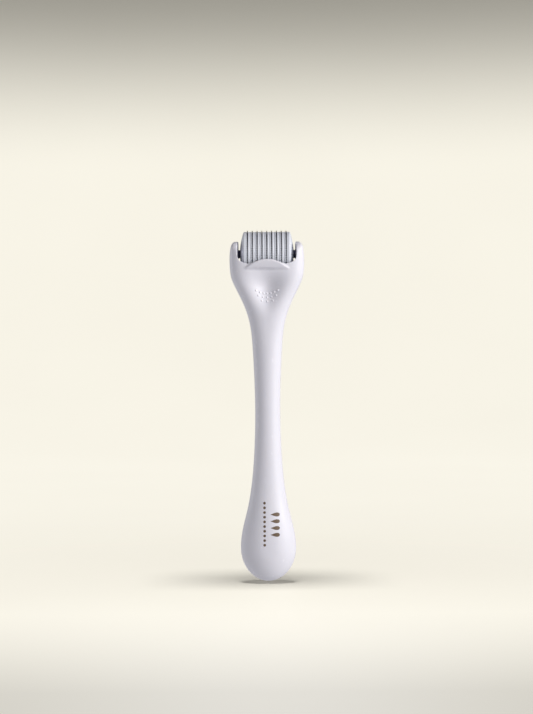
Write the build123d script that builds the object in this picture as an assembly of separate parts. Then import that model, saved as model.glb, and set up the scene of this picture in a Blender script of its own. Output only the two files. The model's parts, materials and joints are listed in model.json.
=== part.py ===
"""Derma roller: a hollow two-shell handle whose forked head carries a drum of needle discs.

Millimetres. The origin is the lowest point of the handle's butt, on the handle's centreline.
+Z runs up the handle to the drum, -Y is the front (the thumb side), +X is the right-hand ear.
"""
from build123d import *
import os
from math import cos, pi, radians, sin, sqrt

# ---- Driving dimensions ----
OVERALL_LENGTH = 145.0          # butt to the tips of the uppermost needles

NEEDLE_ROWS = 9                 # one steel disc for each row
NEEDLES_PER_ROW = 60
ROW_PITCH = 2.0                 # disc to disc along the drum
NEEDLE_LENGTH = 0.5             # how far a point stands out of the plastic
NEEDLE_BASE = 0.45              # width of a point at its root
DISC_THICKNESS = 0.3
DRUM_RADIUS = 9.25              # outside of the spacer rings and end caps
EDGE_CHAMFER = 0.15             # on the plastic beside a disc
GROOVE_WIDTH = 0.3              # round the middle of each spacer ring
GROOVE_DEPTH = 0.15
CAP_RIM_X = 9.7                 # where an end cap's cylinder ends and its dome begins
CAP_SUMMIT_X = 11.2             # the dome's highest point
CAP_RIM_ROUND = 0.4

JOURNAL_RADIUS = 1.7            # the shaft's round ends
RUNNING_CLEARANCE = 0.05        # between a journal and its hole, on the radius
SHAFT_END_X = 13.8
SHAFT_END_CHAMFER = 0.3
CORE_RADIUS = 3.0               # the shaft between its journals
CORE_END_X = 9.6
KEY_COUNT = 3
KEY_WIDTH = 1.2
KEY_TOP_RADIUS = 3.8
KEY_CLEARANCE = 0.05

DRUM_AXIS_Y = 3.0               # the drum sits behind the handle's centreline
EAR_INNER_X = 12.1              # half the gap between the ears
SOCKET_END_X = 14.0             # floor of each blind journal socket
EAR_TOP_ABOVE_AXIS = 5.0
EAR_FRONT_Y = -4.9              # an ear's front and back, level with the drum's axis
EAR_BACK_Y = 8.0
EAR_CORNER_RADIUS = 2.0         # an ear's outer top corner, seen from the front
EAR_TOP_HALF_WIDTH = 14.6

NEEDLE_CLEARANCE = 1.0          # needle points to the saddle below the drum
SADDLE_CORNER_ALONG = 4.5       # quarter ellipse that rounds the saddle up into the ears
SADDLE_CORNER_OUT = 3.0
SHOULDER_BELOW_AXIS = 4.3       # the head's front rim, where the ears begin to slope back
SHOULDER_FRONT_Y = -6.85
SHOULDER_FOOT_BELOW_AXIS = 8.0  # the slope starts here, just clear of the head's front
SHOULDER_FOOT_Y = -7.6
HEAD_BACK_Y = 9.5               # clear of the head's back, below the ears
HEAD_BACK_FROM_Z = 112.0

GUARD_THICKNESS = 1.25          # finger guard in front of the drum
GUARD_CREST_BELOW_AXIS = 2.0
GUARD_ENDS_BELOW_AXIS = 6.3
GUARD_FOOT_BELOW_AXIS = 13.5    # its root runs down into the dish this far
GUARD_HALF_WIDTH = 8.9

DISH_BELOW_AXIS = 11.5          # centre of the ellipsoid that scoops the thumb dish
DISH_CENTRE_Y = -9.3
DISH_RADII = (9.6, 4.9, 17.0)

DOTS_PER_ROW = (7, 5, 3)        # raised dots at the foot of the dish, top row first
DOT_RADIUS = 0.5
DOT_HEIGHT = 0.35
DOT_PITCH = 1.85
DOT_ROW_DROP = 1.55
DOT_TOP_ROW_Z = 118.9
DOT_ROW_SMILE = 0.045           # how fast a row climbs away from its middle, per mm squared

WALL = 1.8                      # wall of the handle's shells
HOLLOW_TOP_Z = 118.0
HOLLOW_LEAN_FROM_Z = 100.0      # above here the hollow bends away from the dish
HOLLOW_LEAN = 0.115

PEG_HEIGHTS = (22.0, 48.0, 74.0, 98.0)   # pegs that locate the shells on each other
PEG_RADIUS = 1.5
PEG_REACH = 2.2                 # Y of a peg's end, inside its boss
PEG_END_GAP = 0.2
BOSS_RADIUS = 2.6

BUTT_HALF_WIDTH = 11.4
BUTT_HALF_DEPTH = 7.8
BUTT_HEIGHT = 13.8              # the widest point; below it the butt is half an ellipsoid
BUTT_ANGLES = (86, 76, 60, 40, 20, 0)

# The handle above its butt: height, half width, front Y, back Y and squareness of the section.
# Squareness 2 is an ellipse, and larger values fill out its corners.
HANDLE_STATIONS = (
    (21.0, 10.65, -7.4, 7.4, 2.0),
    (29.5, 8.60, -6.3, 6.3, 2.0),
    (41.5, 6.60, -5.2, 5.2, 2.0),
    (55.0, 5.55, -4.6, 4.6, 2.0),
    (70.0, 5.18, -4.4, 4.4, 2.0),
    (86.0, 5.55, -4.5, 4.6, 2.0),
    (98.0, 6.20, -4.8, 5.0, 2.1),
    (107.0, 7.35, -5.2, 5.6, 2.3),
    (114.0, 9.60, -5.8, 6.4, 2.5),
    (120.0, 12.45, -6.5, 7.2, 2.7),
    (125.5, 14.75, -7.0, 7.9, 2.9),
    (130.0, 15.50, -7.1, 8.3, 3.1),
    (135.5, 15.50, -7.0, 8.6, 3.2),
    (141.0, 14.60, -6.8, 8.6, 3.2),
)

PARTING_STRAIGHT_TO_Z = 94.0    # below here the parting surface is the plane Y = 0
PARTING_ON_AXIS_FROM_Z = 126.0  # above here it is level with the drum's axis

# ---- Sizes worked out from the driving ones ----
DRUM_AXIS_Z = OVERALL_LENGTH - DRUM_RADIUS - NEEDLE_LENGTH
DRUM_PLACE = Pos(0, DRUM_AXIS_Y, DRUM_AXIS_Z)
DISC_PLACES = [(row - (NEEDLE_ROWS - 1) / 2) * ROW_PITCH for row in range(NEEDLE_ROWS)]
NEEDLE_TIP_RADIUS = DRUM_RADIUS + NEEDLE_LENGTH
SADDLE_RADIUS = NEEDLE_TIP_RADIUS + NEEDLE_CLEARANCE
LAST_DISC_FACE_X = DISC_PLACES[-1] + DISC_THICKNESS / 2
PARTING_RISE = PARTING_ON_AXIS_FROM_Z - PARTING_STRAIGHT_TO_Z
PARTING_STEPS = 8               # points that carry the bend of the parting surface
REACH = 40.0                    # longer than anything it has to cut through sideways
ABOVE_ALL_Z = OVERALL_LENGTH + 5
BELOW_ALL_Z = -5.0
OUTLINE_POINTS = 32             # points round one section of the handle


# ---- Handle ----

def section(z, half_width, front, back, squareness):
    """Face of one level section of the handle, a superellipse."""
    middle = (front + back) / 2
    half_depth = (back - front) / 2
    points = []
    for i in range(OUTLINE_POINTS):
        c = cos(2 * pi * i / OUTLINE_POINTS)
        s = sin(2 * pi * i / OUTLINE_POINTS)
        x = half_width * abs(c) ** (2 / squareness) * (1 if c >= 0 else -1)
        y = half_depth * abs(s) ** (2 / squareness) * (1 if s >= 0 else -1)
        points.append((x, middle + y, z))
    return make_face(Spline(*points, periodic=True))


def butt_sections(inset):
    """Sections of the half ellipsoid at the foot, from its small flat tip up to its widest."""
    faces = []
    for angle in BUTT_ANGLES:
        drop = (BUTT_HEIGHT - inset) * sin(radians(angle)) / sin(radians(BUTT_ANGLES[0]))
        half_width = (BUTT_HALF_WIDTH - inset) * cos(radians(angle))
        half_depth = (BUTT_HALF_DEPTH - inset) * cos(radians(angle))
        faces.append(section(BUTT_HEIGHT - drop, half_width, -half_depth, half_depth, 2.0))
    return faces


def handle_outside():
    """The handle's outer form, with a solid head."""
    return loft(butt_sections(0) + [section(*station) for station in HANDLE_STATIONS])


def handle_hollow():
    """The space inside the two shells."""
    faces = butt_sections(WALL)
    for z, half_width, front, back, squareness in HANDLE_STATIONS:
        if z < HOLLOW_TOP_Z:
            lean = HOLLOW_LEAN * max(0.0, z - HOLLOW_LEAN_FROM_Z)
            faces.append(section(z, half_width - WALL, front + WALL + lean, back - WALL, squareness))
    return loft(faces)


def side_prism():
    """The head's outline seen from the side: shoulders that slope up into the rounded ears."""
    foot = (SHOULDER_FOOT_Y, DRUM_AXIS_Z - SHOULDER_FOOT_BELOW_AXIS)
    shoulder = (SHOULDER_FRONT_Y, DRUM_AXIS_Z - SHOULDER_BELOW_AXIS)
    ear_front = (EAR_FRONT_Y, DRUM_AXIS_Z)
    ear_top = (DRUM_AXIS_Y, DRUM_AXIS_Z + EAR_TOP_ABOVE_AXIS)
    ear_back = (EAR_BACK_Y, DRUM_AXIS_Z)
    back_foot = (HEAD_BACK_Y, HEAD_BACK_FROM_Z)
    with BuildSketch(Plane.YZ) as outline:
        with BuildLine():
            Polyline(
                back_foot, (REACH, HEAD_BACK_FROM_Z), (REACH, BELOW_ALL_Z), (-REACH, BELOW_ALL_Z),
                (-REACH, foot[1]), foot,
            )
            Spline(foot, shoulder, ear_front, ear_top, tangents=((0, 1), (1, 0)))
            Spline(ear_top, ear_back, back_foot, tangents=((1, 0), (0, -1)))
        make_face()
    return extrude(outline.sketch, amount=REACH, both=True)


def front_prism():
    """The ears' outline seen from the front, with rounded outer top corners."""
    top = DRUM_AXIS_Z + EAR_TOP_ABOVE_AXIS
    ear_root_x = EAR_TOP_HALF_WIDTH + 1
    with BuildSketch(Plane.XZ) as outline:
        with BuildLine():
            Polyline(
                (-REACH, BELOW_ALL_Z), (REACH, BELOW_ALL_Z), (REACH, DRUM_AXIS_Z), (ear_root_x, DRUM_AXIS_Z),
                (EAR_TOP_HALF_WIDTH, top), (-EAR_TOP_HALF_WIDTH, top), (-ear_root_x, DRUM_AXIS_Z),
                (-REACH, DRUM_AXIS_Z), close=True,
            )
        make_face()
        fillet(outline.vertices().group_by(Axis.Y)[-1], EAR_CORNER_RADIUS)
    return extrude(outline.sketch, amount=REACH, both=True)


def saddle_tool():
    """Space the drum turns in: a revolved outline about the drum's axis."""
    corner_x = EAR_INNER_X - SADDLE_CORNER_ALONG
    corner_radius = SADDLE_RADIUS - SADDLE_CORNER_OUT
    with BuildSketch(Plane.XY) as outline:
        with BuildLine():
            Line((-corner_x, SADDLE_RADIUS), (corner_x, SADDLE_RADIUS))
            for x, start_angle in ((corner_x, 0), (-corner_x, 90)):
                EllipticalCenterArc(
                    (x, corner_radius), SADDLE_CORNER_ALONG, SADDLE_CORNER_OUT, start_angle, arc_size=90
                )
            Polyline(
                (EAR_INNER_X, corner_radius), (EAR_INNER_X, 0),
                (-EAR_INNER_X, 0), (-EAR_INNER_X, corner_radius),
            )
        make_face()
    return DRUM_PLACE * revolve(outline.sketch, Axis.X)


def guard():
    """Finger guard: a lip round the saddle, arched seen from the front, with a root down into the dish."""
    outer = SADDLE_RADIUS + GUARD_THICKNESS
    crease = (DRUM_AXIS_Y - sqrt(outer**2 - GUARD_ENDS_BELOW_AXIS**2), DRUM_AXIS_Z - GUARD_ENDS_BELOW_AXIS)
    level = (DRUM_AXIS_Y - outer, DRUM_AXIS_Z)
    foot_z = DRUM_AXIS_Z - GUARD_FOOT_BELOW_AXIS
    foot = (dish_y(0, foot_z), foot_z)
    with BuildSketch(Plane.YZ) as outline:
        with BuildLine():
            RadiusArc(crease, level, outer)
            Polyline(level, (DRUM_AXIS_Y, DRUM_AXIS_Z), (0, foot_z), foot)
            Spline(foot, crease, tangents=((0, 1), (-1, 1)))
        make_face()
    lip = extrude(outline.sketch, amount=GUARD_HALF_WIDTH, both=True)
    rise = GUARD_ENDS_BELOW_AXIS - GUARD_CREST_BELOW_AXIS
    arch_radius = (GUARD_HALF_WIDTH**2 + rise**2) / (2 * rise)
    arch_centre_z = DRUM_AXIS_Z - GUARD_CREST_BELOW_AXIS - arch_radius
    return lip & Pos(0, 0, arch_centre_z) * extrude(Plane.XZ * Circle(arch_radius), amount=REACH, both=True)


def dish_tool():
    """Ellipsoid that scoops out the thumb dish."""
    return Pos(0, DISH_CENTRE_Y, DRUM_AXIS_Z - DISH_BELOW_AXIS) * scale(Sphere(1), by=DISH_RADII)


def dish_y(x, z):
    """Y of the dish's floor at a place on it."""
    sideways = (x / DISH_RADII[0]) ** 2
    upwards = ((z - DRUM_AXIS_Z + DISH_BELOW_AXIS) / DISH_RADII[2]) ** 2
    return DISH_CENTRE_Y + DISH_RADII[1] * sqrt(1 - sideways - upwards)


def grip_dots():
    """Low domes in rows that smile: each row climbs away from its middle."""
    sphere_radius = (DOT_RADIUS**2 + DOT_HEIGHT**2) / (2 * DOT_HEIGHT)
    dots = []
    for row, count in enumerate(DOTS_PER_ROW):
        for i in range(count):
            x = (i - (count - 1) / 2) * DOT_PITCH
            z = DOT_TOP_ROW_Z - row * DOT_ROW_DROP + DOT_ROW_SMILE * x**2
            y = dish_y(x, z) + sphere_radius - DOT_HEIGHT
            dots.append(Pos(x, y, z) * Sphere(sphere_radius))
    return dots


def parting_y(z):
    """Depth of the parting surface: straight up the handle, then bending back to the drum's axis."""
    share = min(1.0, max(0.0, (z - PARTING_STRAIGHT_TO_Z) / PARTING_RISE))
    return DRUM_AXIS_Y * share**2 * (3 - 2 * share)


def parting_prism():
    """Everything in front of the parting surface."""
    heights = [PARTING_STRAIGHT_TO_Z + PARTING_RISE * i / PARTING_STEPS for i in range(PARTING_STEPS + 1)]
    bend = [(parting_y(z), z) for z in heights]
    with BuildSketch(Plane.YZ) as outline:
        with BuildLine():
            Polyline(
                bend[0], (0, BELOW_ALL_Z), (-REACH, BELOW_ALL_Z), (-REACH, ABOVE_ALL_Z),
                (DRUM_AXIS_Y, ABOVE_ALL_Z), bend[-1],
            )
            Spline(*bend, tangents=((0, 1), (0, 1)))
        make_face()
    return extrude(outline.sketch, amount=REACH, both=True)


def along_y(radius, x, z, y_from, y_to):
    """Cylinder along Y between two depths."""
    return Pos(x, y_from, z) * Rot(-90, 0, 0) * Cylinder(
        radius, y_to - y_from, align=(Align.CENTER, Align.CENTER, Align.MIN)
    )


def wall_middle(z):
    """Depths of the middle of the front wall and of the back wall on the centreline."""
    for low, high in zip(HANDLE_STATIONS, HANDLE_STATIONS[1:]):
        if low[0] <= z <= high[0]:
            share = (z - low[0]) / (high[0] - low[0])
            front = low[2] + share * (high[2] - low[2])
            back = low[3] + share * (high[3] - low[3])
            return front + WALL / 2, back - WALL / 2


def shells():
    """The two halves of the handle, front and rear."""
    body = (handle_outside() & side_prism() & front_prism()) - dish_tool() + guard()
    sockets = DRUM_PLACE * Rot(0, 90, 0) * Cylinder(JOURNAL_RADIUS + RUNNING_CLEARANCE, 2 * SOCKET_END_X)
    body = body - saddle_tool() - handle_hollow() - sockets
    in_front = parting_prism()
    front = body & in_front
    rear = body - in_front
    for dot in grip_dots():
        front = front + dot
    for z in PEG_HEIGHTS:
        front_wall, back_wall = wall_middle(z)
        front = front + along_y(PEG_RADIUS, 0, z, front_wall, PEG_REACH)
        rear = rear + (along_y(BOSS_RADIUS, 0, z, 0, back_wall) - in_front)
        rear = rear - along_y(PEG_RADIUS + RUNNING_CLEARANCE, 0, z, 0, PEG_REACH + PEG_END_GAP)
    return front, rear


# ---- Drum ----

def keyed_outline(clearance):
    """The shaft's keyed section, or the hole that slides over it."""
    outline = Circle(CORE_RADIUS + clearance)
    width = KEY_WIDTH + 2 * clearance
    for i in range(KEY_COUNT):
        key = Rectangle(width, KEY_TOP_RADIUS + clearance, align=(Align.CENTER, Align.MIN))
        outline = outline + Rot(0, 0, i * 360 / KEY_COUNT) * key
    return outline


def across(sketch, x_from, x_to):
    """Extrudes a sketch along X about the drum's axis."""
    return DRUM_PLACE * Pos(x_from, 0, 0) * extrude(Plane.YZ * sketch, amount=x_to - x_from)


def keyed_bore(x_from, x_to):
    return across(keyed_outline(KEY_CLEARANCE), x_from, x_to)


def turned(outline):
    """Revolves an outline of (x, radius) points about the drum's axis."""
    return DRUM_PLACE * revolve(make_face(Polyline(*outline, close=True)), Axis.X)


def needle_disc(x):
    """Thin steel disc with a row of points round its rim."""
    root = DRUM_RADIUS - EDGE_CHAMFER
    half_base = NEEDLE_BASE / 2 / root
    points = []
    for i in range(NEEDLES_PER_ROW):
        middle = 2 * pi * i / NEEDLES_PER_ROW
        for turn, radius in ((-half_base, root), (0, NEEDLE_TIP_RADIUS), (half_base, root)):
            points.append((radius * cos(middle + turn), radius * sin(middle + turn)))
    disc = make_face(Polyline(*points, close=True)) - keyed_outline(KEY_CLEARANCE)
    return across(disc, x - DISC_THICKNESS / 2, x + DISC_THICKNESS / 2)


def spacer_ring(x_from, x_to):
    """Plastic ring between two discs, with a groove round its middle."""
    middle = (x_from + x_to) / 2
    ring = turned([
        (x_from, 0), (x_from, DRUM_RADIUS - EDGE_CHAMFER), (x_from + EDGE_CHAMFER, DRUM_RADIUS),
        (middle - GROOVE_WIDTH / 2, DRUM_RADIUS), (middle, DRUM_RADIUS - GROOVE_DEPTH),
        (middle + GROOVE_WIDTH / 2, DRUM_RADIUS),
        (x_to - EDGE_CHAMFER, DRUM_RADIUS), (x_to, DRUM_RADIUS - EDGE_CHAMFER), (x_to, 0),
    ])
    return ring - keyed_bore(x_from, x_to)


def end_cap(side):
    """Domed cap that closes one end of the drum. side is 1 for +X and -1 for -X."""
    with BuildSketch(Plane.XY) as outline:
        with BuildLine():
            Polyline(
                (CAP_SUMMIT_X, 0), (LAST_DISC_FACE_X, 0), (LAST_DISC_FACE_X, DRUM_RADIUS - EDGE_CHAMFER),
                (LAST_DISC_FACE_X + EDGE_CHAMFER, DRUM_RADIUS), (CAP_RIM_X, DRUM_RADIUS),
            )
            bulge = CAP_SUMMIT_X - CAP_RIM_X
            RadiusArc((CAP_RIM_X, DRUM_RADIUS), (CAP_SUMMIT_X, 0), (DRUM_RADIUS**2 + bulge**2) / (2 * bulge))
        make_face()
        rim = outline.vertices().sort_by_distance(Vector(CAP_RIM_X, DRUM_RADIUS))[0]
        fillet(rim, CAP_RIM_ROUND)
    cap = DRUM_PLACE * revolve(outline.sketch, Axis.X) - keyed_bore(0, CORE_END_X + KEY_CLEARANCE)
    hole = Rot(0, 90, 0) * Cylinder(JOURNAL_RADIUS + RUNNING_CLEARANCE, 2 * SHAFT_END_X)
    cap = cap - DRUM_PLACE * hole
    return cap if side > 0 else mirror(cap, Plane.YZ)


def drum_shaft():
    """Keyed shaft that the discs, rings and caps are stacked on, with a round journal at each end."""
    journal_end = JOURNAL_RADIUS - SHAFT_END_CHAMFER
    rod = turned([
        (-SHAFT_END_X, 0), (-SHAFT_END_X, journal_end), (-SHAFT_END_X + SHAFT_END_CHAMFER, JOURNAL_RADIUS),
        (SHAFT_END_X - SHAFT_END_CHAMFER, JOURNAL_RADIUS), (SHAFT_END_X, journal_end), (SHAFT_END_X, 0),
    ])
    return rod + across(keyed_outline(0), -CORE_END_X, CORE_END_X)


def parts():
    """Every piece of the roller by name."""
    made = {}
    made["front_shell"], made["rear_shell"] = shells()
    made["drum_shaft"] = drum_shaft()
    made["end_cap_left"] = end_cap(-1)
    made["end_cap_right"] = end_cap(1)
    for number, x in enumerate(DISC_PLACES, 1):
        made[f"needle_disc_{number}"] = needle_disc(x)
    for number, (left, right) in enumerate(zip(DISC_PLACES, DISC_PLACES[1:]), 1):
        made[f"spacer_ring_{number}"] = spacer_ring(left + DISC_THICKNESS / 2, right - DISC_THICKNESS / 2)
    return made


if __name__ == "__main__":
    os.makedirs("parts", exist_ok=True)
    for name, shape in parts().items():
        export_step(shape, f"parts/{name}.step")
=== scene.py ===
"""Derma roller: a glossy white two-shell handle and its needle drum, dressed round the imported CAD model.

The handle's shells are sculpted as a smooth distance field, meshed, and split along the parting surface.
The drum's rings, discs and caps are turned with finely rounded edges. Each stands for its CAD node.
Lengths here are millimetres in the CAD model's frame; a mesh becomes metres when it is made.
"""

import json
import math

import bmesh
import bpy
import numpy as np
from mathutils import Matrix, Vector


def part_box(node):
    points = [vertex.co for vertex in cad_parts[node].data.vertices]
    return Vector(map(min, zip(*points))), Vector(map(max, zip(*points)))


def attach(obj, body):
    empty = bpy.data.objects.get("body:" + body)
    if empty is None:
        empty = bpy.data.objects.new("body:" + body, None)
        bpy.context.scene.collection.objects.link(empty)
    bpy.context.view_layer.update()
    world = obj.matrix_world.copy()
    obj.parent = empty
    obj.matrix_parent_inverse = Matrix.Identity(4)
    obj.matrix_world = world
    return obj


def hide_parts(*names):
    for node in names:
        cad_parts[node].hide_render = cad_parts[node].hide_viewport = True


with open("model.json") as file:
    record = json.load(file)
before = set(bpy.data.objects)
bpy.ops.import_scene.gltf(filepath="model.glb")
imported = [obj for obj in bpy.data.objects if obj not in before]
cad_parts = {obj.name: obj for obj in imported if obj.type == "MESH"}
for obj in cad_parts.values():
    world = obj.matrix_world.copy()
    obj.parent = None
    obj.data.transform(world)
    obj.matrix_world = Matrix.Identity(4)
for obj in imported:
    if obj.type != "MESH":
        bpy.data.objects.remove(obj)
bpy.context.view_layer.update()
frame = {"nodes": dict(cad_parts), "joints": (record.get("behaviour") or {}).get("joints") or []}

MM = 0.001
TINY = 1e-9                     # keeps a division from reaching nought


def box_mm(node):
    """Low and high corners of a CAD node's box."""
    low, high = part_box(node)
    return np.array(low) / MM, np.array(high) / MM


# ---- Sizes read from the frame ----
AXIS_Y, AXIS_Z = (value / MM for value in frame["joints"][0]["pos_m"][1:])
EAR_TOP_Z = box_mm("front_shell")[1][2]
RING_RADIUS = box_mm("spacer_ring_1")[1][2] - AXIS_Z
TIP_RADIUS = box_mm("needle_disc_1")[1][2] - AXIS_Z
DISCS = [name for name in frame["nodes"] if name.startswith("needle_disc")]
RINGS = [name for name in frame["nodes"] if name.startswith("spacer_ring")]

# ---- Handle ----
BUTT_HEIGHT = 13.8              # the widest point; below it the butt is half an ellipsoid
# Height, half width, front Y, back Y and squareness of each section. Squareness 2 is an ellipse.
HANDLE_STATIONS = (
    (13.8, 11.40, -7.8, 7.8, 2.0),
    (21.0, 10.65, -7.4, 7.4, 2.0),
    (29.5, 8.60, -6.3, 6.3, 2.0),
    (41.5, 6.60, -5.2, 5.2, 2.0),
    (55.0, 5.55, -4.6, 4.6, 2.0),
    (70.0, 5.18, -4.4, 4.4, 2.0),
    (86.0, 5.55, -4.5, 4.6, 2.0),
    (98.0, 6.20, -4.8, 5.0, 2.1),
    (107.0, 7.35, -5.2, 5.6, 2.5),
    (114.0, 9.60, -5.9, 6.4, 2.85),
    (120.0, 12.45, -6.9, 7.2, 3.0),
    (125.5, 14.85, -7.5, 7.9, 3.2),
    (130.0, 15.68, -7.6, 8.3, 3.3),
    (141.0, 15.85, -7.6, 8.6, 3.3),
)
EAR_SIDE_FROM_Z = 129.0         # where the ears' side outline starts to round over, front and back
EAR_BACK_FROM_Z = 132.5
EAR_SIDE_FRONT = 11.3           # front and back reach of that outline from the drum's axis
EAR_SIDE_BACK = 5.9
EAR_SIDE_SQUARENESS = 2.4
EAR_CORNER_FROM_X = 13.0        # where the ears' outer corners start, seen from the front
EAR_CORNER_FROM_Z = AXIS_Z - 3.7
EAR_CORNER_ALONG = 2.7          # their reach sideways
EAR_EDGE = 1.1                  # rounding of the ears' outer edges
EAR_CREST_Z = EAR_TOP_Z + 0.45  # the height they would have without it

EAR_INNER_X = 11.8              # the ears' inner faces, behind the drum's axis
EAR_DRAFT = 0.055               # how fast they open towards the front
SADDLE_RADIUS = TIP_RADIUS + 0.6
SADDLE_CORNER_ALONG = 5.0       # the oval corner between the saddle and each ear
SADDLE_CORNER_OUT = 1.8
SADDLE_EDGE = 0.4               # rounding of the saddle's rim

GUARD_CENTRE_Y = AXIS_Y + 1.2   # the guard's face is part of a cylinder with this axis
GUARD_CENTRE_Z = AXIS_Z - 0.4
GUARD_RADIUS = 12.7
GUARD_HALF_WIDTH = 8.9
GUARD_CREST_Z = AXIS_Z - 2.45
GUARD_CREASE_Z = AXIS_Z - 6.4
GUARD_EDGE = 0.7                # rounding of its edges
GUARD_CREASE = 0.9              # fillet where it meets the handle

DISH_FOOT_Z = 108.0
DISH_WIDTHS = (1.5, 6.0)        # spread of the dish at its foot and at the guard
DISH_STEEPNESS = 0.78           # depth for each millimetre of spread
DISH_RISE = 1.75                # how fast it deepens above its foot
DISH_FADE_Y = 3.5               # how far in front of the centreline it presses with all its depth
DISH_LIP = 0.35                 # share of its depth that the dish keeps under the guard
DISH_LIP_FROM = 0.62            # how far up the dish it starts to run out to that lip

DOT_ROWS = ((7, 1.55), (5, 1.9), (3, 2.35))     # how many dots, and how far apart
DOT_RADIUS = 0.48
DOT_HEIGHT = 0.23
DOT_ROW_DROP = 1.65
DOT_TOP_ROW_Z = AXIS_Z - 16.6
DOT_ROW_SMILE = 0.06            # how fast a row climbs away from its middle

WALL = 1.8
HOLLOW_TOP_Z = 114.0
HOLLOW_LEAN_FROM_Z = 100.0
HOLLOW_LEAN = 0.115             # how fast its front leans back above that, clear of the thumb dish
HOLLOW_POLE_ANGLE = 1.5         # its lower end starts this far round, in radians, just short of the pole
HOLLOW_POLE_STEPS = 18          # slices from there up to the widest point
PARTING_FROM_Z = 94.0           # between these heights the parting surface bends back to the drum's axis
PARTING_TO_Z = 126.0
PARTING_REACH = 30.0            # half width and depth of the blocks that part the shells, past the handle
PARTING_BLOCK_FROM_Z = -5.0
PARTING_BLOCK_TO_Z = 150.0
SLICE = 1.0                     # height of the slices that those blocks and the hollow are lofted through
SEAM_GAP = 0.06
PEG_HEIGHTS = (22.0, 48.0, 74.0, 98.0)
PEG_RADIUS = 1.5
PEG_BORE = 1.55
PEG_REACH = 2.2                 # how far behind the centreline the pegs end
PEG_BORE_REACH = 2.4
BORE_LEAD = 1.0                 # how far in front of its boss each bore's cutter starts
BOSS_RADIUS = 2.6
SOCKET_RADIUS = 1.75
SOCKET_END_X = 14.0

CELL = 0.25   # the sculpting grid across and round the head
STEM_CELL = 2 * CELL                 # and up the plain part of the handle
HEAD_FROM_Z = 105.0
GRID_HALF_WIDTH = 16.0
GRID_HALF_DEPTH = 9.5
GRID_FROM_Z = -1.0
GRID_TO_Z = 141.0
RELAX_PASSES = 3
SLOPE_STEP = 0.01               # how far to each side the field is sampled for its slope
LEAST_STEEPNESS = 0.05          # a slope's square is taken as at least this
FRONT_SEARCH_Y = -12.0          # in front of the whole handle
FRONT_SEARCH_HALVINGS = 24
ROUND_SEGMENTS = 96             # of the rods, the hollow and the stage
SHARP_ANGLE = 35                # in degrees; a steeper edge than this isn't shaded smooth

# ---- Print on the bulb ----
PRINT_LIFT = 0.02               # how far the ink stands proud, and how deep its patch is rooted
PRINT_ROOT = 0.04
PRINT_RINGS = 4                 # rings of faces in each patch
DROPS = 4
DROPS_X = 2.75
DROPS_FROM_Z = 19.6
DROP_PITCH = 2.75
DROP_LENGTH = 3.9
DROP_WIDTH = 2.3
DROP_TAPER = 1.5                # 0 makes an oval; the more, the sharper the drop's point
DROP_SEGMENTS = 36
BEADS = 10
BEADS_X = -1.55
BEADS_FROM_Z = 15.4
BEAD_PITCH = 1.9
BEAD_RADIUS = 0.55
BEAD_SEGMENTS = 20

# ---- Drum ----
SEGMENTS = 240                  # round the rings and caps
DISC_THICKNESS = 0.3
NEEDLES = 60
NEEDLE_BASE = 0.5
NEEDLE_ROOT_RADIUS = RING_RADIUS - 0.05
NEEDLE_TIP_THICKNESS = 0.28
PLATE_EDGE_RADIUS = NEEDLE_ROOT_RADIUS - 0.2
RING_EDGE = 0.1
SLOT_FLARE = 0.07               # rings narrow this much each side towards the rim: every disc has a slot
SLOT_DEPTH = 0.9
GROOVE_WIDTH = 0.48
GROOVE_DEPTH = 0.15
GROOVE_STEPS = 7
CAP_RIM = 0.5                   # rounding of a cap's rim
CAP_RIM_X = 1.55                # how far from the cap's inner face that rounded corner stands
CAP_RIM_START = 20              # in degrees; where on its arc the rim takes over from the dome
CAP_RIM_STEPS = 7
CAP_DOME_X = 1.45               # how far from that face the dome would come down to the rings' radius
CAP_DOME_STEPS = 14
BORE_RADIUS = 3.05
KEYWAY_HALF_WIDTH = 0.65
KEYWAY_RADIUS = 3.85
KEYS = 3
CAP_BORE_END_X = 9.65
CAP_HOLE_RADIUS = 1.75

# ---- Looks. Colours are linear; a noise's scale is its waves in a metre ----
CLOUD_SCALE = 60.0
SMUDGE_SCALE = 140.0
SMUDGE_DETAIL = 4.0
SMUDGE_RANGE = (0.3, 0.7)
SMUDGE_GLOSSIER = 0.05
SMUDGE_DULLER = 0.07
GRAIN_SCALE = 2600.0
GRAIN_DETAIL = 2.0
GRAIN_DEPTH = 0.03
WORN_POINTINESS = (0.50, 0.58)  # from a flat place to an edge
WORN_LIGHTER = 1.05
GLOW_SHARE = 0.12               # light that goes into the plastic and comes out again nearby
GLOW_COLOURS = (1.0, 0.9, 0.8)
GLOW_DEPTH = 1.2
INK_SCALE = 900.0
INK_DARK = (0.10, 0.062, 0.035)
INK_LIGHT = (0.20, 0.135, 0.085)
INK_ROUGHNESS = 0.45
MARK_SCALE = 1800.0
MARK_STRENGTH = 0.2
MARK_DEPTH = 0.02
STEEL_ROUGHNESS = (0.22, 0.42)
STEEL_RIM = (0.62, 0.64, 0.69)
# painted shade: near-black colours for the needle points, standing in for the dark reflections and shade they
# show
POINT_PAINTED_SHADE_DARK = (0.006, 0.006, 0.010)
POINT_PAINTED_SHADE_LIGHT = (0.020, 0.020, 0.030)
POINT_SHADE_FROM = 0.01              # above the needles' roots the painted shade on the points sets in between these distances
POINT_SHADE_TO = 0.08

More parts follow.
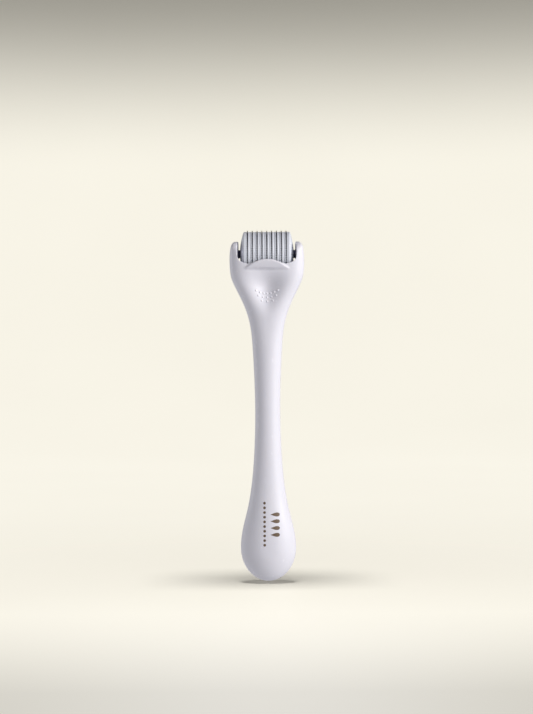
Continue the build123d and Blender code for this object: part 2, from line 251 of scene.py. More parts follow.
# ---- Studio ----
FLOOR_Z = -0.5
FLOOR_RADII = (0.5, 150.0, 400.0, 900.0)
COVE_BEND = 600.0               # radius of the curve from the floor's last radius up to the wall
COVE_ANGLES = (4, 90)           # in degrees
COVE_STEPS = 24
WALL_TOP_Z = 1600.0
MOTTLE_SCALE = 6.0
GLOWING_CREAM = ((0.90, 0.87, 0.77), (0.93, 0.90, 0.80))
LIT_CREAM = ((0.46, 0.43, 0.345), (0.48, 0.45, 0.36))
STAGE_ROUGHNESS = 0.6
WALL_FADE_Z = (300.0, 540.0)    # between these heights the wall's glow falls from the first to the second
WALL_FADE = (0.88, 0.20)
FRONT_FADE_Y = (-270.0, -100.0)
FRONT_FADE = 0.50               # the floor's glow in front of both
BOUNCE = (0.54, 0.325)          # brightness of the floor and of the wall as the roller sees them
BOUNCE_TO_Z = 60.0              # the wall's starts from this height
BOUNCE_COLOUR = (0.97, 0.97, 1.0, 1.0)
ROOM_COLOUR = (0.95, 0.96, 1.0, 1.0)
ROOM_STRENGTH = 0.13
OVERHEAD_Y = -8.0
OVERHEAD_Z = 290.0
OVERHEAD_SHARE = 0.85           # how much of the light on the floor under the roller is the lamp's
LIT_PLACE = (0.0, 0.0, 80.0)    # what the key and the fill are aimed at
CAMERA_X = -0.38
CAMERA_Z = 92.55
CAMERA_DISTANCE = 820.0
CAMERA_ROLL = 0.33              # in degrees
VIEW_HEIGHT = 295.4             # of what is seen at the roller
SENSOR = 36.0


# ---- Curves and distance fields ----

def smooth_curve(knots, values):
    """Cubic spline through the values, level at its first knot and free at its last."""
    knots = np.array(knots)
    values = np.array(values)
    gaps = np.diff(knots)
    rises = np.diff(values) / gaps
    count = len(knots)
    matrix = np.zeros((count, count))
    right = np.zeros(count)
    matrix[0, :2] = 2 * gaps[0], gaps[0]
    right[0] = 6 * rises[0]
    for i in range(1, count - 1):
        matrix[i, i - 1:i + 2] = gaps[i - 1], 2 * (gaps[i - 1] + gaps[i]), gaps[i]
        right[i] = 6 * (rises[i] - rises[i - 1])
    matrix[-1, -1] = 1
    bends = np.linalg.solve(matrix, right)

    def value_at(place):
        i = np.clip(np.searchsorted(knots, place) - 1, 0, count - 2)
        after = place - knots[i]
        before = knots[i + 1] - place
        bowed = (bends[i] * before**3 + bends[i + 1] * after**3) / (6 * gaps[i])
        left = (values[i] / gaps[i] - bends[i] * gaps[i] / 6) * before
        return bowed + left + (values[i + 1] / gaps[i] - bends[i + 1] * gaps[i] / 6) * after

    return value_at


def smooth_step(share):
    """Rises from 0 to 1 as the share does, level at both ends."""
    share = np.clip(share, 0, 1)
    return share**2 * (3 - 2 * share)


def round_max(a, b, radius):
    """Both a and b, with the edge between them rounded."""
    corner = np.hypot(np.maximum(a + radius, 0), np.maximum(b + radius, 0)) - radius
    return np.minimum(np.maximum(a, b), -radius) + np.maximum(corner + radius, 0)


def round_min(a, b, radius):
    """Either a or b, with a fillet between them."""
    return -round_max(-a, -b, radius)


def oval(p, q, reach_p, reach_q, squareness=2.0):
    """Distance outside an oval, to first order."""
    u = np.abs(p) / reach_p
    v = np.abs(q) / reach_q
    r = (u**squareness + v**squareness) ** (1 / squareness) + TINY
    slope = np.hypot((u / r) ** (squareness - 1) / reach_p, (v / r) ** (squareness - 1) / reach_q)
    return (r - 1) / np.maximum(slope, 0.5 / np.maximum(reach_p, reach_q))


station_columns = list(zip(*HANDLE_STATIONS))
half_width_at, front_at, back_at, squareness_at = (
    smooth_curve(station_columns[0], column) for column in station_columns[1:]
)


def stem_field(x, y, z):
    """The handle without its head's details: sections up its length, and half an ellipsoid below them."""
    level = np.clip(z, BUTT_HEIGHT, HANDLE_STATIONS[-1][0])
    front = front_at(level)
    back = back_at(level)
    power = squareness_at(level)
    half_width = half_width_at(level)
    half_depth = (back - front) / 2
    u = np.abs(x) / half_width
    v = np.abs(y - (front + back) / 2) / half_depth
    s = (u**power + v**power) ** (1 / power) + TINY
    w = np.maximum(BUTT_HEIGHT - z, 0) / BUTT_HEIGHT
    r = np.hypot(s, w)
    slope = np.hypot((u / s) ** (power - 1) / half_width, (v / s) ** (power - 1) / half_depth)
    return (r - 1) / np.maximum(np.hypot(s / r * slope, w / r / BUTT_HEIGHT), TINY)


def dish_depth(x, z):
    """How far the thumb dish is pressed in: a valley that narrows downwards and fades at its foot."""
    up = np.clip((z - DISH_FOOT_Z) / (GUARD_CREASE_Z - DISH_FOOT_Z), 0, 1)
    spread = DISH_WIDTHS[0] + (DISH_WIDTHS[1] - DISH_WIDTHS[0]) * up
    lip = 1 - (1 - DISH_LIP) * smooth_step((up - DISH_LIP_FROM) / (1 - DISH_LIP_FROM))
    along = smooth_step(DISH_RISE * up) * lip
    return DISH_STEEPNESS * spread * along * np.exp(-0.5 * (x / spread) ** 2)


def ears_field(x, y, z):
    """Rounds the ears over, seen from the side and from the front."""
    reach_y = np.where(y < AXIS_Y, EAR_SIDE_FRONT, EAR_SIDE_BACK)
    from_z = np.where(y < AXIS_Y, EAR_SIDE_FROM_Z, EAR_BACK_FROM_Z)
    side = oval(y - AXIS_Y, np.maximum(z - from_z, 0), reach_y, EAR_CREST_Z - from_z, EAR_SIDE_SQUARENESS)
    out = np.maximum(np.abs(x) - EAR_CORNER_FROM_X, 0)
    up = np.maximum(z - EAR_CORNER_FROM_Z, 0)
    corner = oval(out, up, EAR_CORNER_ALONG, EAR_CREST_Z - EAR_CORNER_FROM_Z)
    return round_max(side, corner, EAR_EDGE)


def saddle_field(x, y, z):
    """Distance outside the space that the drum turns in."""
    out = np.hypot(y - AXIS_Y, z - AXIS_Z)
    inner_x = EAR_INNER_X + EAR_DRAFT * np.maximum(AXIS_Y - y, 0)
    past_x = np.maximum(np.abs(x) - inner_x + SADDLE_CORNER_ALONG, 0)
    past_radius = np.maximum(out - SADDLE_RADIUS + SADDLE_CORNER_OUT, 0)
    return oval(past_x, past_radius, SADDLE_CORNER_ALONG, SADDLE_CORNER_OUT)


def guard_field(x, y, z):
    """Finger guard: a curved plate in front of the saddle, arched seen from the front, creased below."""
    rise = GUARD_CREST_Z - GUARD_CREASE_Z
    arch_radius = (GUARD_HALF_WIDTH**2 + rise**2) / (2 * rise)
    band = np.hypot(y - GUARD_CENTRE_Y, z - GUARD_CENTRE_Z) - GUARD_RADIUS
    arch = np.hypot(x, z - GUARD_CREST_Z + arch_radius) - arch_radius
    lip = round_max(band, arch, GUARD_EDGE)
    return np.maximum(round_max(lip, GUARD_CREASE_Z - z, GUARD_EDGE), y)


def handle_field(x, y, z):
    """The whole handle's outside."""
    press = dish_depth(x, z) * smooth_step(-y / DISH_FADE_Y)
    body = stem_field(x, y - press, z)
    body = round_max(body, ears_field(x, y, z), EAR_EDGE)
    body = round_min(body, guard_field(x, y, z), GUARD_CREASE)
    return round_max(body, -saddle_field(x, y, z), SADDLE_EDGE)


# ---- Meshes ----

def onto_surface(field, points, passes=2):
    """Moves points along the field's slope until they lie where it is zero."""
    for _ in range(passes):
        value = field(*points.T)
        slope = np.empty_like(points)
        for axis in range(3):
            shift = np.zeros(3)
            shift[axis] = SLOPE_STEP
            slope[:, axis] = (field(*(points + shift).T) - field(*(points - shift).T)) / (2 * SLOPE_STEP)
        steepness = np.maximum((slope**2).sum(1), LEAST_STEEPNESS)
        points = points - slope * np.clip(value / steepness, -CELL, CELL)[:, None]
    return points


def crossing_points(values, cells, grid):
    """For each cell, the middle of the places where the field changes sign on its edges."""
    total = np.zeros((len(cells), 3))
    count = np.zeros(len(cells))
    for axis in range(3):
        others = [i for i in range(3) if i != axis]
        for a in (0, 1):
            for b in (0, 1):
                start = cells.copy()
                start[:, others[0]] += a
                start[:, others[1]] += b
                end = start.copy()
                end[:, axis] += 1
                low = values[tuple(start.T)]
                high = values[tuple(end.T)]
                changes = (low < 0) != (high < 0)
                share = low / np.where(changes, low - high, 1)
                begin = np.stack([grid[i][start[:, i]] for i in range(3)], 1)
                finish = np.stack([grid[i][end[:, i]] for i in range(3)], 1)
                total += np.where(changes[:, None], begin + share[:, None] * (finish - begin), 0)
                count += changes
    return total / count[:, None]


def crossing_faces(inside, index):
    """A quad for each grid edge that passes through the surface, facing outwards."""
    faces = []
    # The four cells round an edge, in turning order along X and Z (0) and along Y (1).
    rings = {0: ((-1, -1), (0, -1), (0, 0), (-1, 0)), 1: ((-1, -1), (-1, 0), (0, 0), (0, -1))}
    for axis in range(3):
        others = [i for i in range(3) if i != axis]
        ends = [slice(None)] * 3
        starts = [slice(None)] * 3
        starts[axis] = slice(None, -1)
        ends[axis] = slice(1, None)
        leaving = inside[tuple(starts)] & ~inside[tuple(ends)]
        entering = ~inside[tuple(starts)] & inside[tuple(ends)]
        for edges, turned in ((leaving, False), (entering, True)):
            at = np.argwhere(edges)
            corners = []
            for shift in rings[axis % 2]:
                cell = at.copy()
                cell[:, others[0]] += shift[0]
                cell[:, others[1]] += shift[1]
                corners.append(index[tuple(cell.T)])
            quads = np.stack(corners, 1)
            faces.append(quads[:, ::-1] if turned else quads)
    return np.concatenate(faces)


def relaxed(points, faces, field):
    """Evens out the quads while keeping every point on the surface."""
    links = np.concatenate([faces[:, [0, 1]], faces[:, [1, 2]], faces[:, [2, 3]], faces[:, [3, 0]]])
    links = np.concatenate([links, links[:, ::-1]])
    count = np.bincount(links[:, 0], minlength=len(points))[:, None]
    for _ in range(RELAX_PASSES):
        sums = [np.bincount(links[:, 0], weights, len(points)) for weights in points[links[:, 1]].T]
        points = onto_surface(field, (points + np.stack(sums, 1) / count) / 2)
    return points


def sculpted(name, field, grid):
    """Mesh of the surface where a field is zero, with one vertex in each grid cell that it passes through."""
    values = field(*np.meshgrid(*grid, indexing="ij"))
    inside = values < 0
    filled = np.zeros([len(axis) - 1 for axis in grid], int)
    for i in (0, 1):
        for j in (0, 1):
            for k in (0, 1):
                filled += inside[i:i + filled.shape[0], j:j + filled.shape[1], k:k + filled.shape[2]]
    crossed = (filled > 0) & (filled < 8)
    index = np.full(crossed.shape, -1)
    index[crossed] = np.arange(crossed.sum())
    points = crossing_points(values, np.argwhere(crossed), grid)
    faces = crossing_faces(inside, index)
    return mesh_from(name, relaxed(onto_surface(field, points), faces, field), faces)


def mesh_from(name, points, faces):
    """Mesh of points given in millimetres."""
    mesh = bpy.data.meshes.new(name)
    faces = faces.tolist() if isinstance(faces, np.ndarray) else faces
    mesh.from_pydata((np.asarray(points) * MM).tolist(), [], faces)
    mesh.update()
    return mesh


def faces_between(low, high, count):
    """Faces between two closed rings of points. Low and high are their first points' places in the list."""
    faces = []
    for i in range(count):
        j = (i + 1) % count
        faces.append((low + i, low + j, high + j, high + i))
    return faces


def lofted(name, rings):
    """Closed mesh through rings of points, each with the same number of points."""
    count = len(rings[0])
    last = (len(rings) - 1) * count
    faces = []
    for low in range(0, last, count):
        faces += faces_between(low, low + count, count)
    faces.append(tuple(range(count))[::-1])
    faces.append(tuple(range(last, last + count)))
    mesh = mesh_from(name, np.concatenate(rings), faces)
    facing_out(mesh)
    return mesh


def facing_out(mesh):
    """Turns a closed mesh's faces so that all of them face outwards."""
    solid = bmesh.new()
    solid.from_mesh(mesh)
    bmesh.ops.recalc_face_normals(solid, faces=solid.faces)
    solid.to_mesh(mesh)
    solid.free()


def full_turn(count):
    """Even angles round a circle, in radians."""
    return np.linspace(0, 2 * np.pi, count, endpoint=False)


def rod(axis, start, length, radius):
    """Closed cylinder from a point, along X (0) or Y (1)."""
    angles = full_turn(ROUND_SEGMENTS)
    across = [i for i in range(3) if i != axis]
    rings = []
    for along in (0, length):
        ring = np.tile(np.array(start, float), (len(angles), 1))
        ring[:, axis] += along
        ring[:, across[0]] += radius * np.cos(angles)
        ring[:, across[1]] += radius * np.sin(angles)
        rings.append(ring)
    return lofted("rod", rings)


def finished(name, solid):
    """A mesh of what has been built in bmesh."""
    mesh = bpy.data.meshes.new(name)
    solid.to_mesh(mesh)
    solid.free()
    return mesh


def joined(meshes):
    """Several meshes that don't touch, as one."""
    solid = bmesh.new()
    for mesh in meshes:
        solid.from_mesh(mesh)
    return finished("joined", solid)


def linked(name, data):
    """A new object in the scene."""
    item = bpy.data.objects.new(name, data)
    bpy.context.scene.collection.objects.link(item)
    return item


def carved(mesh, tool, operation):
    """Boolean of two closed meshes."""
    target = linked("target", mesh)
    cutter = linked("cutter", tool)
    modifier = target.modifiers.new("cut", "BOOLEAN")
    modifier.object = cutter
    modifier.operation = operation
    modifier.solver = "MANIFOLD"
    graph = bpy.context.evaluated_depsgraph_get()
    result = bpy.data.meshes.new_from_object(target.evaluated_get(graph))
    for item in (target, cutter):
        bpy.data.objects.remove(item)
    return result


def piece(name, mesh, body, material, nodes=()):
    """Puts a finished mesh on a body, with its material, standing for its CAD nodes."""
    mesh.name = name
    mesh.materials.clear()
    mesh.materials.append(material)
    mesh.shade_smooth()
    mesh.set_sharp_from_angle(angle=math.radians(SHARP_ANGLE))
    item = linked(name, mesh)
    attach(item, body)
    if nodes:
        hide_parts(*nodes)


# ---- Handle's pieces ----

def parting_y(z):
    """Where the surface between the two shells lies at each height."""
    return AXIS_Y * smooth_step((z - PARTING_FROM_Z) / (PARTING_TO_Z - PARTING_FROM_Z))


def parting_block(side):
    """Everything in front of the parting surface (side -1) or behind it (side 1), less half the gap."""
    rings = []
    for z in np.arange(PARTING_BLOCK_FROM_Z, PARTING_BLOCK_TO_Z, SLICE):
        near = parting_y(z) + side * SEAM_GAP / 2
        far = side * PARTING_REACH
        corners = ((-PARTING_REACH, near), (PARTING_REACH, near), (PARTING_REACH, far), (-PARTING_REACH, far))
        rings.append(np.array([(x, y, z) for x, y in corners]))
    return lofted("parting", rings)


def hollow_mesh():
    """The space inside the shells: the handle's sections less the wall, closed by half an ellipsoid below."""
    angles = full_turn(ROUND_SEGMENTS)
    c = np.cos(angles)
    s = np.sin(angles)
    drop = BUTT_HEIGHT - WALL
    low = np.linspace(-HOLLOW_POLE_ANGLE, 0, HOLLOW_POLE_STEPS)[:-1]
    heights = np.concatenate([BUTT_HEIGHT + drop * np.sin(low), np.arange(BUTT_HEIGHT, HOLLOW_TOP_Z, SLICE)])
    rings = []
    for z in heights:
        level = max(z, BUTT_HEIGHT)
        shrink = math.sqrt(max(0.0, 1 - ((level - z) / drop) ** 2))
        front = front_at(level) + WALL + HOLLOW_LEAN * max(0.0, z - HOLLOW_LEAN_FROM_Z)
        back = back_at(level) - WALL
        power = squareness_at(level)
        x = (half_width_at(level) - WALL) * shrink * np.sign(c) * np.abs(c) ** (2 / power)
        y = (back - front) / 2 * shrink * np.sign(s) * np.abs(s) ** (2 / power)
        rings.append(np.stack([x, (front + back) / 2 + y, np.full_like(x, z)], 1))
    return lofted("hollow", rings)


def front_surface_y(x, z):
    """Depth of the handle's front face at each place, found by halving."""
    outside = np.full_like(x, FRONT_SEARCH_Y)
    inside = np.zeros_like(x)
    for _ in range(FRONT_SEARCH_HALVINGS):
        middle = (outside + inside) / 2
        is_in = handle_field(x, middle, z) < 0
        inside = np.where(is_in, middle, inside)
        outside = np.where(is_in, outside, middle)
    return inside


def grip_dots():
    """Low domes at the dish's foot, in rows that smile."""
    sphere_radius = (DOT_RADIUS**2 + DOT_HEIGHT**2) / (2 * DOT_HEIGHT)
    solid = bmesh.new()
    for row, (count, pitch) in enumerate(DOT_ROWS):
        x = (np.arange(count) - (count - 1) / 2) * pitch
        z = DOT_TOP_ROW_Z - row * DOT_ROW_DROP + DOT_ROW_SMILE * x**2
        y = front_surface_y(x, z) + sphere_radius - DOT_HEIGHT
        for place in zip(x, y, z):
            made = bmesh.ops.create_icosphere(solid, subdivisions=3, radius=sphere_radius * MM)
            bmesh.ops.translate(solid, verts=made["verts"], vec=np.array(place) * MM)
    return finished("dots", solid)


def peg_meshes():
    """Pegs on the front shell, bosses on the rear one, and the bores in them."""
    pegs = []
    bosses = []
    bores = []
    for z in PEG_HEIGHTS:
        front_wall = front_at(z) + WALL / 2
        back_wall = back_at(z) - WALL / 2
        boss_face = parting_y(z) + SEAM_GAP / 2
        pegs.append(rod(1, (0, front_wall, z), PEG_REACH - front_wall, PEG_RADIUS))
        bosses.append(rod(1, (0, boss_face, z), back_wall - boss_face, BOSS_RADIUS))
        bore_start = boss_face - BORE_LEAD
        bores.append(rod(1, (0, bore_start, z), PEG_BORE_REACH - bore_start, PEG_BORE))
    return joined(pegs), joined(bosses), joined(bores)


def handle_shells():
    """Front and rear shells, hollow, with their pegs and dots."""
    xs = np.arange(-GRID_HALF_WIDTH, GRID_HALF_WIDTH + CELL, CELL)
    ys = np.arange(-GRID_HALF_DEPTH, GRID_HALF_DEPTH + CELL, CELL)
    stem_zs = np.arange(GRID_FROM_Z, HEAD_FROM_Z, STEM_CELL)
    head_zs = np.arange(HEAD_FROM_Z, GRID_TO_Z, CELL)
    body = sculpted("handle", handle_field, (xs, ys, np.concatenate([stem_zs, head_zs])))
    body = carved(body, hollow_mesh(), "DIFFERENCE")
    socket = rod(0, (-SOCKET_END_X, AXIS_Y, AXIS_Z), 2 * SOCKET_END_X, SOCKET_RADIUS)
    body = carved(body, socket, "DIFFERENCE")
    pegs, bosses, bores = peg_meshes()
    front = carved(body.copy(), parting_block(-1), "INTERSECT")
    front = carved(front, pegs, "UNION")
    front = carved(front, grip_dots(), "UNION")
    rear = carved(body, parting_block(1), "INTERSECT")
    rear = carved(rear, bosses, "UNION")
    rear = carved(rear, bores, "DIFFERENCE")
    return front, rear


# ---- Drum's pieces ----

def bore_radius(angles):
    """The keyed bore's radius at each angle."""
    radius = np.full_like(angles, BORE_RADIUS)
    for key in range(KEYS):
        off = np.abs((angles - 2 * np.pi * key / KEYS + np.pi) % (2 * np.pi) - np.pi)
        reach = np.minimum(KEYWAY_RADIUS / np.cos(off), KEYWAY_HALF_WIDTH / np.maximum(np.sin(off), TINY))
        radius = np.where(off < np.pi / 4, np.maximum(radius, reach), radius)
    return radius


def turned(name, profile, angles):
    """Closed mesh from columns of (x, radius) points. Each is one number or one for each angle."""
    columns = []
    for x, radius in profile:
        place = np.broadcast_to(x, angles.shape)
        y = AXIS_Y + radius * np.sin(angles)
        z = AXIS_Z + radius * np.cos(angles)
        columns.append(np.stack([place, y, z], 1))
    count = len(columns)
    points = np.stack(columns, 1).reshape(-1, 3)
    faces = []
    for i in range(len(angles)):
        faces += faces_between(i * count, (i + 1) % len(angles) * count, count)
    mesh = mesh_from(name, points, faces)
    facing_out(mesh)
    return mesh


def rounded(corner_x, corner_radius, size, start, steps=5):
    """Points round a convex corner of a profile: start is the angle, in degrees, where the arc begins."""
    towards = math.radians(start + 45)
    centre_x = corner_x - size * np.sign(math.cos(towards))
    centre_radius = corner_radius - size * np.sign(math.sin(towards))
    points = []
    for angle in np.radians(np.linspace(start, start + 90, steps)):
        points.append((centre_x + size * math.cos(angle), centre_radius + size * math.sin(angle)))
    return points


def ring_mesh(name):
    """Spacer ring with rounded edges and a soft groove round its middle."""
    low, high = box_mm(name)
    angles = full_turn(SEGMENTS)
    bore = bore_radius(angles)
    middle = (low[0] + high[0]) / 2
    profile = [(low[0], bore), (high[0], bore), (high[0], RING_RADIUS - SLOT_DEPTH)]
    profile += rounded(high[0] - SLOT_FLARE, RING_RADIUS, RING_EDGE, 0)
    for share in np.linspace(0.5, -0.5, GROOVE_STEPS):
        dip = GROOVE_DEPTH * math.cos(math.pi * share) ** 2
        profile.append((middle + share * GROOVE_WIDTH, RING_RADIUS - dip))
    profile += rounded(low[0] + SLOT_FLARE, RING_RADIUS, RING_EDGE, 90)
    profile.append((low[0], RING_RADIUS - SLOT_DEPTH))
    return turned(name, profile, angles)


def disc_mesh(name):
    """Steel disc whose rim carries sharpened points."""
    low, high = box_mm(name)
    middle = (low[0] + high[0]) / 2
    half = DISC_THICKNESS / 2
    turn = 2 * np.pi / NEEDLES
    base = NEEDLE_BASE / 2 / NEEDLE_ROOT_RADIUS
    offsets = np.array([-base, 0, base, turn / 2])
    reach = np.array([NEEDLE_ROOT_RADIUS, TIP_RADIUS, NEEDLE_ROOT_RADIUS, NEEDLE_ROOT_RADIUS])
    thickness = np.array([half, NEEDLE_TIP_THICKNESS / 2, half, half])
    angles = (np.arange(NEEDLES)[:, None] * turn + offsets).ravel()
    reach = np.tile(reach, NEEDLES)
    thickness = np.tile(thickness, NEEDLES)
    bore = bore_radius(angles)
    profile = [
        (middle - half, bore), (middle + half, bore), (middle + half, PLATE_EDGE_RADIUS),
        (middle + thickness, reach), (middle - thickness, reach), (middle - half, PLATE_EDGE_RADIUS),
    ]
    return turned(name, profile, angles)


def cap_mesh(name):
    """Domed end cap with a rounded rim, a bore for the shaft's keyed part and a hole for its journal."""
    low, high = box_mm(name)
    side = 1 if high[0] > 0 else -1
    inner, outer = sorted((abs(low[0]), abs(high[0])))
    angles = full_turn(SEGMENTS)
    rise = outer - inner - CAP_DOME_X
    dome_radius = (RING_RADIUS**2 + rise**2) / (2 * rise)
    profile = [(inner, bore_radius(angles)), (CAP_BORE_END_X, bore_radius(angles))]
    profile.append((CAP_BORE_END_X, CAP_HOLE_RADIUS))
    for radius in np.linspace(CAP_HOLE_RADIUS, RING_RADIUS - CAP_RIM, CAP_DOME_STEPS):
        profile.append((outer - dome_radius + math.sqrt(dome_radius**2 - radius**2), radius))
    profile += rounded(inner + CAP_RIM_X, RING_RADIUS, CAP_RIM, CAP_RIM_START, CAP_RIM_STEPS)
    profile += rounded(inner + SLOT_FLARE, RING_RADIUS, RING_EDGE, 90)
    profile.append((inner, RING_RADIUS - SLOT_DEPTH))
    return turned(name, [(side * x, radius) for x, radius in profile], angles)


def patch(solid, outline):
    """Adds a thin closed patch that lies on the handle's front, inside an outline of (x, z) points."""
    outline = np.array(outline)
    middle = outline.mean(0)
    shares = np.linspace(1.0, 0.0, PRINT_RINGS + 1)[:-1]
    flat = np.concatenate([middle + share * (outline - middle) for share in shares] + [middle[None]])
    depth = front_surface_y(flat[:, 0], flat[:, 1])
    sides = []
    for lift in (PRINT_LIFT, -PRINT_ROOT):
        places = np.stack([flat[:, 0], depth - lift, flat[:, 1]], 1) * MM
        sides.append([solid.verts.new(place) for place in places])
    count = len(outline)
    last = (PRINT_RINGS - 1) * count
    for verts in sides:
        for low in range(0, last, count):
            for corners in faces_between(low, low + count, count):
                solid.faces.new([verts[corner] for corner in corners])
        for i in range(count):
            solid.faces.new((verts[last + i], verts[last + (i + 1) % count], verts[-1]))
    for i in range(count):
        j = (i + 1) % count
        solid.faces.new((sides[0][i], sides[0][j], sides[1][j], sides[1][i]))


def teardrop(x, z):
    """Outline of a drop that points to the left, round a middle point."""
    points = []
    for angle in full_turn(DROP_SEGMENTS):
        half_height = DROP_WIDTH / 2 * math.sin(angle) * math.sin(angle / 2) ** DROP_TAPER
        points.append((x - DROP_LENGTH / 2 * math.cos(angle), z + half_height))
    return points


def bead(x, z):
    """Round outline."""
    points = []
    for angle in full_turn(BEAD_SEGMENTS):
        points.append((x + BEAD_RADIUS * math.cos(angle), z + BEAD_RADIUS * math.sin(angle)))
    return points


def print_mesh():
    """A plain ornament printed on the bulb: a column of drops beside a column of beads."""
    solid = bmesh.new()
    for i in range(DROPS):
        patch(solid, teardrop(DROPS_X, DROPS_FROM_Z + i * DROP_PITCH))
    for i in range(BEADS):
        patch(solid, bead(BEADS_X, BEADS_FROM_Z + i * BEAD_PITCH))
    mesh = finished("print", solid)
    facing_out(mesh)
    return mesh


# ---- Materials ----

def new_material(name):
    """A material with its node tree and its shader."""
    material = bpy.data.materials.new(name)
    material.use_nodes = True
    tree = material.node_tree
    return material, tree, tree.nodes["Principled BSDF"]


def feed(tree, target, value):
    """Gives an input a fixed value, or links it where the value is another node's socket."""
    if isinstance(value, bpy.types.NodeSocket):
        tree.links.new(value, target)
    else:
        target.default_value = value


def add_node(tree, kind, **settings):
    """A node with its properties and inputs set."""
    node = tree.nodes.new(kind)
    for key, value in settings.items():
        if hasattr(node, key):
            setattr(node, key, value)
        else:
            feed(tree, node.inputs[key.replace("_", " ")], value)
    return node


def calculate(tree, operation, *values):
    """A Math node's result."""
    node = add_node(tree, "ShaderNodeMath", operation=operation)
    for value, target in zip(values, node.inputs):
        feed(tree, target, value)
    return node.outputs[0]


def sum_of_squares(tree, a, b):
    """Two numbers or sockets squared and added."""
    return calculate(tree, "ADD", calculate(tree, "POWER", a, 2.0), calculate(tree, "POWER", b, 2.0))


def ranged(tree, value, start, end, low=0.0, high=1.0, ease="LINEAR"):
    """Runs from low to high as the value runs from start to end, and stays there past either."""
    settings = {"From_Min": start, "From_Max": end, "To_Min": low, "To_Max": high}
    node = add_node(tree, "ShaderNodeMapRange", Value=value, interpolation_type=ease, **settings)
    return node.outputs["Result"]


def object_place(tree):
    """The shaded point in its object's own coordinates, in metres."""
    return add_node(tree, "ShaderNodeTexCoord").outputs["Object"]


def noise(tree, place, scale, detail=3.0):
    """Cloudy values about a half."""
    return add_node(tree, "ShaderNodeTexNoise", Vector=place, Scale=scale, Detail=detail).outputs["Fac"]


def colour_mix(tree, factor, low, high):
    """Colour that runs from low to high with the factor. Each is a linear colour or a socket."""
    mix = add_node(tree, "ShaderNodeMix", data_type="RGBA")
    tree.links.new(factor, mix.inputs[0])
    for target, value in ((mix.inputs[6], low), (mix.inputs[7], high)):
        feed(tree, target, (*value, 1.0) if isinstance(value, tuple) else value)
    return mix.outputs[2]


def roughen(tree, shader, height, strength, depth):
    """Tilts the light on a surface as if a texture raised it by up to that depth."""
    bump = add_node(tree, "ShaderNodeBump", Strength=strength, Distance=depth * MM, Height=height)
    tree.links.new(bump.outputs["Normal"], shader.inputs["Normal"])


def plastic(name, light, dark, roughness, grain):
    """Moulded plastic: a little cloudiness in its colour, a fine spark-eroded grain, edges worn lighter."""
    material, tree, shader = new_material(name)
    place = object_place(tree)
    body = colour_mix(tree, noise(tree, place, CLOUD_SCALE), dark, light)
    pointiness = add_node(tree, "ShaderNodeNewGeometry").outputs["Pointiness"]
    worn_colour = tuple(min(1.0, value * WORN_LIGHTER) for value in light)
    worn = colour_mix(tree, ranged(tree, pointiness, *WORN_POINTINESS), body, worn_colour)
    feed(tree, shader.inputs["Base Color"], worn)
    roughen(tree, shader, noise(tree, place, GRAIN_SCALE, GRAIN_DETAIL), grain, GRAIN_DEPTH)
    smudge = noise(tree, place, SMUDGE_SCALE, SMUDGE_DETAIL)
    gloss = ranged(tree, smudge, *SMUDGE_RANGE, roughness - SMUDGE_GLOSSIER, roughness + SMUDGE_DULLER)
    feed(tree, shader.inputs["Roughness"], gloss)
    feed(tree, shader.inputs["Subsurface Weight"], GLOW_SHARE)
    feed(tree, shader.inputs["Subsurface Radius"], GLOW_COLOURS)
    feed(tree, shader.inputs["Subsurface Scale"], GLOW_DEPTH * MM)
    return material


def ink(name):
    """Brown print, a little uneven in its cover."""
    material, tree, shader = new_material(name)
    cover = noise(tree, object_place(tree), INK_SCALE)
    feed(tree, shader.inputs["Base Color"], colour_mix(tree, cover, INK_DARK, INK_LIGHT))
    feed(tree, shader.inputs["Roughness"], INK_ROUGHNESS)
    return material


def steel(name):
    """Discs in bright steel on their rims, with painted shade that colours their ground points near-black as
    if they reflected dark surroundings, and fine rolling marks.
    """
    material, tree, shader = new_material(name)
    place = object_place(tree)
    marks = noise(tree, place, MARK_SCALE)
    parts = add_node(tree, "ShaderNodeSeparateXYZ", Vector=place)
    back = calculate(tree, "SUBTRACT", parts.outputs["Y"], AXIS_Y * MM)
    up = calculate(tree, "SUBTRACT", parts.outputs["Z"], AXIS_Z * MM)
    reach = calculate(tree, "SQRT", sum_of_squares(tree, back, up))
    point_shade_start = (NEEDLE_ROOT_RADIUS + POINT_SHADE_FROM) * MM
    point_shade_end = (NEEDLE_ROOT_RADIUS + POINT_SHADE_TO) * MM
    # painted shade: the points get a near-black colour in place of the dark reflections they show
    points = colour_mix(tree, marks, POINT_PAINTED_SHADE_DARK, POINT_PAINTED_SHADE_LIGHT)
    colour = colour_mix(tree, ranged(tree, reach, point_shade_start, point_shade_end), STEEL_RIM, points)
    feed(tree, shader.inputs["Base Color"], colour)
    feed(tree, shader.inputs["Roughness"], ranged(tree, marks, 0.0, 1.0, *STEEL_ROUGHNESS))
    feed(tree, shader.inputs["Metallic"], 1.0)
    roughen(tree, shader, marks, MARK_STRENGTH, MARK_DEPTH)
    return material


handle_plastic = plastic(
    "handle_plastic", light=(0.80, 0.785, 0.84), dark=(0.775, 0.76, 0.82), roughness=0.42, grain=0.35)
drum_plastic = plastic(
    "drum_plastic", light=(0.78, 0.80, 0.86), dark=(0.74, 0.765, 0.825), roughness=0.36, grain=0.25)
shaft_plastic = plastic(
    "shaft_plastic", light=(0.050, 0.055, 0.150), dark=(0.036, 0.040, 0.110), roughness=0.40, grain=0.30)
needle_steel = steel("needle_steel")
print_ink = ink("print_ink")


# ---- Building ----

